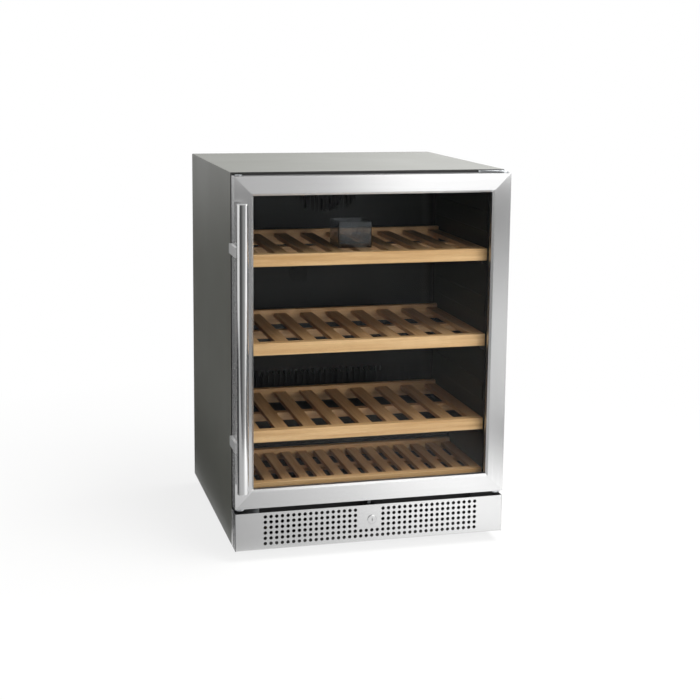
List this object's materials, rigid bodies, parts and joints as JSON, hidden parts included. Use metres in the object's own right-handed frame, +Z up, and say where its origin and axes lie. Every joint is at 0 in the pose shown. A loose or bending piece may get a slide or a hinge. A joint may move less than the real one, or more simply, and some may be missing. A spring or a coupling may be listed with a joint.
{
  "type": "wine cooler",
  "caption": "Under-counter wine cooler with a glazed stainless door on hinges, bar handle, beech racks on runners, perforated kick plate with a lock, and a rear cooling unit.",
  "frame": {"origin": "floor level under the middle of the object: X at the cabinet's middle, Y half way between the handle bar and the back", "axes": "+X to the right seen from the front, +Y to the back, +Z up"},
  "size_m": [0.601, 0.624, 0.82],
  "materials": {
    "painted_steel": "dark grey powder coat",
    "stainless": "brushed",
    "zinc_steel": "zinc plated",
    "pot_enamel": "black enamel",
    "copper": "drawn tube",
    "aluminium": "mill finish",
    "liner_black": "vacuum formed",
    "frame_black": "moulded",
    "white_plastic": "moulded",
    "smoked_plastic": "smoked clear",
    "foam": "rigid foam",
    "rubber_black": "matte",
    "tinted_glass": "tinted",
    "clear_glass": "clear",
    "beech": "oiled",
    "light_lens": "opal"
  },
  "bodies": {
    "cabinet": {"cabinet_wrap": "painted_steel", "liner": "liner_black", "insulation": "foam", "base_pan": "zinc_steel", "lower_crossbar": "zinc_steel", "back_panel": "zinc_steel", "rear_machine_cover": "painted_steel", "cord_gland": "rubber_black", "rack_runners": "liner_black", "rear_cover": "liner_black", "charcoal_filter": "frame_black", "evaporator_fan_frame": "frame_black", "evaporator": "aluminium", "condenser": "aluminium", "condenser_fan_frame": "frame_black", "compressor": "pot_enamel", "compressor_mounts": "rubber_black", "evaporation_tray": "white_plastic", "discharge_tube": "copper", "control_module": "frame_black", "light_strip": "light_lens", "hinge_bracket_top": "zinc_steel", "hinge_bracket_bottom": "zinc_steel", "blank_hinge_plate": "zinc_steel", "hinge_pins": "zinc_steel", "kick_plate": "stainless", "lock_housing": "stainless", "bolt_guide": "frame_black"},
    "door": {"door_rail_top": "stainless", "door_rail_bottom": "stainless", "door_rail_left": "stainless", "door_rail_right": "stainless", "door_core": "frame_black", "door_rear_frame": "frame_black", "glass_outer": "tinted_glass", "glass_spacer": "aluminium", "glass_inner": "clear_glass", "door_seal": "rubber_black", "handle_bar": "stainless", "handle_brackets": "stainless", "hinge_bushes": "white_plastic", "hinge_bore_caps": "frame_black"},
    "rack_1": {"rack_1_board": "beech", "rack_1_grid": "beech", "humidity_tray": "smoked_plastic"},
    "rack_2": {"rack_2_board": "beech", "rack_2_grid": "beech"},
    "rack_3": {"rack_3_board": "beech", "rack_3_grid": "beech"},
    "rack_4": {"rack_4_board": "beech", "rack_4_grid": "beech"},
    "lock_plug": {"lock_plug": "stainless"},
    "lock_bolt": {"lock_bolt": "zinc_steel"},
    "evaporator_fan": {"evaporator_fan_rotor": "frame_black"},
    "condenser_fan": {"condenser_fan_rotor": "frame_black"},
    "foot_front_left": {"foot_front_left": "frame_black"},
    "foot_front_right": {"foot_front_right": "frame_black"},
    "foot_rear_left": {"foot_rear_left": "frame_black"},
    "foot_rear_right": {"foot_rear_right": "frame_black"}
  },
  "joints": [
    {"name": "door_hinge", "type": "hinge", "parent": "cabinet", "child": "door", "pos_m": [0.2845, -0.238, 0.466], "axis": [0, 0, 1], "range_deg": [0, 105]},
    {"name": "rack_1_slide", "type": "slide", "parent": "cabinet", "child": "rack_1", "axis": [0, -1, 0], "range_m": [0, 0.0578]},
    {"name": "rack_2_slide", "type": "slide", "parent": "cabinet", "child": "rack_2", "axis": [0, -1, 0], "range_m": [0, 0.0578]},
    {"name": "rack_3_slide", "type": "slide", "parent": "cabinet", "child": "rack_3", "axis": [0, -1, 0], "range_m": [0, 0.0578]},
    {"name": "rack_4_slide", "type": "slide", "parent": "cabinet", "child": "rack_4", "axis": [0, -1, 0], "range_m": [0, 0.0578]},
    {"name": "lock_turn", "type": "hinge", "parent": "cabinet", "child": "lock_plug", "pos_m": [0, -0.262, 0.074], "axis": [0, -1, 0], "range_deg": [0, 90]},
    {"name": "lock_bolt_slide", "type": "slide", "parent": "cabinet", "child": "lock_bolt", "axis": [0, 0, 1], "range_m": [0, 0.00801]},
    {"name": "evaporator_fan_spin", "type": "hinge", "parent": "cabinet", "child": "evaporator_fan", "pos_m": [0, 0.187, 0.734], "axis": [0, -1, 0], "continuous": true},
    {"name": "condenser_fan_spin", "type": "hinge", "parent": "cabinet", "child": "condenser_fan", "pos_m": [-0.15, 0.12, 0.0872], "axis": [0, -1, 0], "continuous": true},
    {"name": "foot_front_left_adjust", "type": "slide", "parent": "cabinet", "child": "foot_front_left", "axis": [0, 0, -1], "range_m": [0, 0.02]},
    {"name": "foot_front_right_adjust", "type": "slide", "parent": "cabinet", "child": "foot_front_right", "axis": [0, 0, -1], "range_m": [0, 0.02]},
    {"name": "foot_rear_left_adjust", "type": "slide", "parent": "cabinet", "child": "foot_rear_left", "axis": [0, 0, -1], "range_m": [0, 0.02]},
    {"name": "foot_rear_right_adjust", "type": "slide", "parent": "cabinet", "child": "foot_rear_right", "axis": [0, 0, -1], "range_m": [0, 0.02]}
  ],
  "couplings": [
    {"joint": "rack_1_slide", "follows": "door_hinge", "m_per_rad": 0.031513},
    {"joint": "rack_2_slide", "follows": "door_hinge", "m_per_rad": 0.031513},
    {"joint": "rack_3_slide", "follows": "door_hinge", "m_per_rad": 0.031513},
    {"joint": "rack_4_slide", "follows": "door_hinge", "m_per_rad": 0.031513},
    {"joint": "lock_bolt_slide", "follows": "lock_turn", "m_per_rad": 0.005093}
  ]
}
